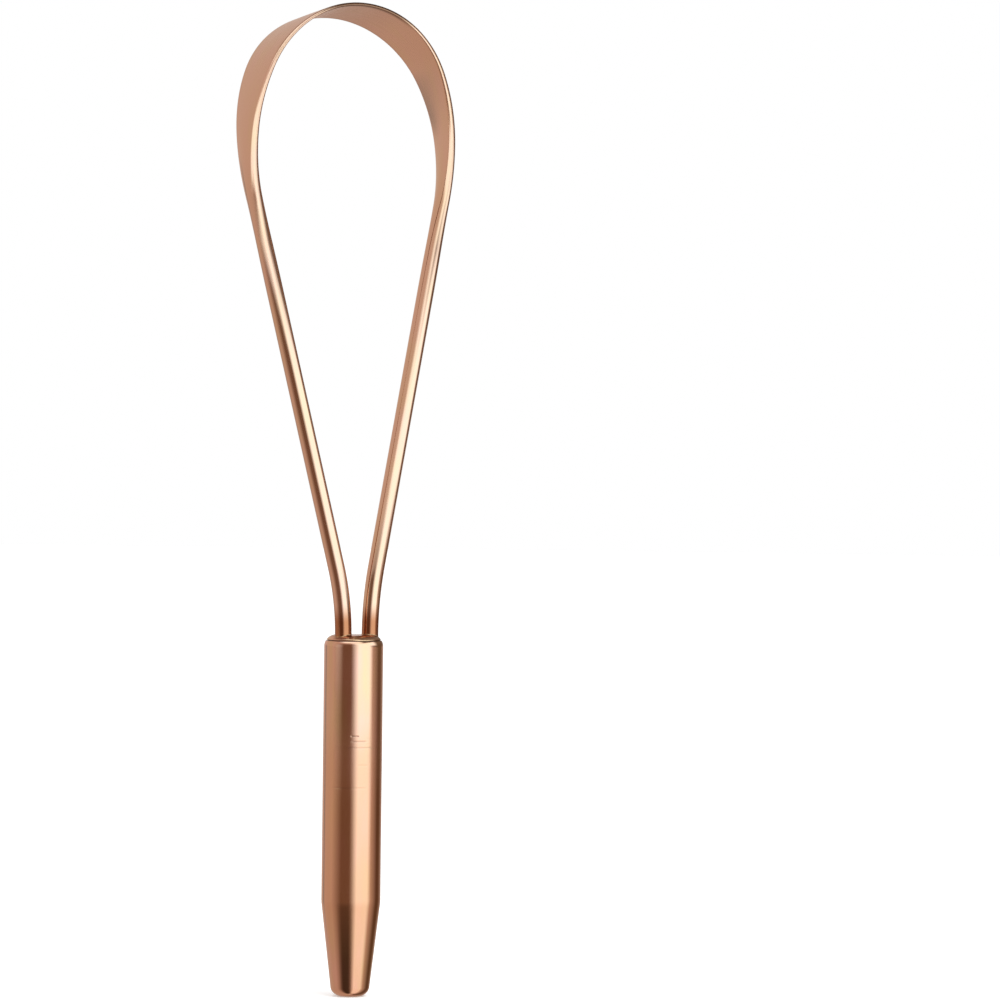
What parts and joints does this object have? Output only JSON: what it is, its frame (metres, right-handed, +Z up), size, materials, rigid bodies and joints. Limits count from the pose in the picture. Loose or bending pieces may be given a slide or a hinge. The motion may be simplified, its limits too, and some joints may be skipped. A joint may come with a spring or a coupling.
{
  "type": "tongue scraper",
  "caption": "Copper tongue scraper: a wire bent to a tall loop with a flattened scraping crown, set in a round handle with a tapered tip.",
  "frame": {"origin": "centre of the handle's flat tip", "axes": "+Z up the handle's axis to the loop, X across the loop, +Y the way the loop leans back and its band's width"},
  "size_m": [0.0358, 0.0153, 0.1512],
  "materials": {
    "handle_copper": "polished copper, turned, with faint ring marks",
    "plug_copper": "polished copper",
    "braze": "dull golden filler metal",
    "loop_copper": "polished copper wire, its rolled band finely satin"
  },
  "bodies": {
    "root": {"handle_tube": "handle_copper", "mouth_plug": "plug_copper", "leg_braze": "braze", "scraper_loop": "loop_copper"}
  },
  "joints": []
}
